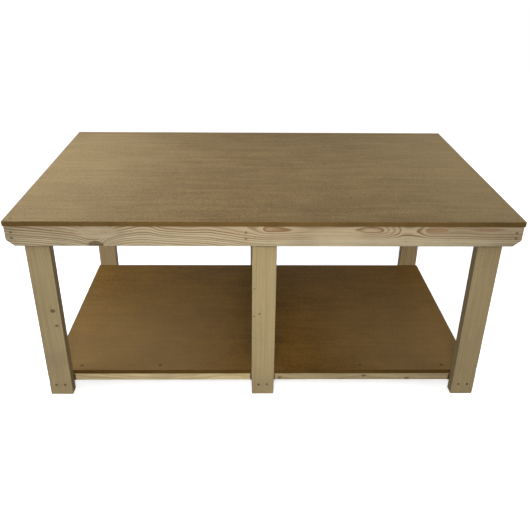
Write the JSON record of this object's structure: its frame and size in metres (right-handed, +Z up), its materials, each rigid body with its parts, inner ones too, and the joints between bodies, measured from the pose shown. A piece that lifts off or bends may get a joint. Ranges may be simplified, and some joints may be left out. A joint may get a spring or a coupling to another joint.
{
  "type": "assembly table",
  "caption": "Heavy timber assembly table: a flat sheet top on a screwed rail frame, straight plank legs and a full-length low storage shelf.",
  "frame": {"origin": "on the floor under the middle of the top", "axes": "+X along the length, +Y from front to rear, +Z up"},
  "size_m": [1.83, 1.22, 0.775],
  "materials": {
    "top_sheet": "bare medium-density fibreboard, fine speckle, darker sawn edge",
    "shelf_sheet": "bare medium-density fibreboard, darker sawn edge",
    "pine": "bare planed softwood with knots and growth rings",
    "screw": "yellow-passivated steel, countersunk"
  },
  "bodies": {
    "root": {"top_board": "top_sheet", "shelf_board": "shelf_sheet", "front_top_rail": "pine", "rear_top_rail": "pine", "left_top_cross_rail": "pine", "middle_top_cross_rail": "pine", "right_top_cross_rail": "pine", "front_left_leg": "pine", "front_middle_leg": "pine", "front_right_leg": "pine", "rear_left_leg": "pine", "rear_middle_leg": "pine", "rear_right_leg": "pine", "left_lower_cross_rail": "pine", "middle_lower_cross_rail": "pine", "right_lower_cross_rail": "pine", "front_left_shelf_batten": "pine", "front_right_shelf_batten": "pine", "rear_left_shelf_batten": "pine", "rear_right_shelf_batten": "pine", "front_rail_left_upper_screw": "screw", "front_rail_left_lower_screw": "screw", "front_rail_middle_upper_screw": "screw", "front_rail_middle_lower_screw": "screw", "front_rail_right_upper_screw": "screw", "front_rail_right_lower_screw": "screw", "rear_rail_left_upper_screw": "screw", "rear_rail_left_lower_screw": "screw", "rear_rail_middle_upper_screw": "screw", "rear_rail_middle_lower_screw": "screw", "rear_rail_right_upper_screw": "screw", "rear_rail_right_lower_screw": "screw", "front_left_leg_screw": "screw", "front_middle_leg_screw": "screw", "front_right_leg_screw": "screw", "rear_left_leg_screw": "screw", "rear_middle_leg_screw": "screw", "rear_right_leg_screw": "screw", "front_left_foot_left_screw": "screw", "front_left_foot_right_screw": "screw", "front_middle_foot_left_screw": "screw", "front_middle_foot_right_screw": "screw", "front_right_foot_left_screw": "screw", "front_right_foot_right_screw": "screw", "rear_left_foot_left_screw": "screw", "rear_left_foot_right_screw": "screw", "rear_middle_foot_left_screw": "screw", "rear_middle_foot_right_screw": "screw", "rear_right_foot_left_screw": "screw", "rear_right_foot_right_screw": "screw", "top_front_left_screw": "screw", "top_rear_left_screw": "screw", "top_front_right_screw": "screw", "top_rear_right_screw": "screw", "top_left_end_screw": "screw", "top_right_end_screw": "screw", "shelf_front_left_screw": "screw", "shelf_front_right_screw": "screw", "shelf_rear_left_screw": "screw", "shelf_rear_right_screw": "screw"}
  },
  "joints": []
}
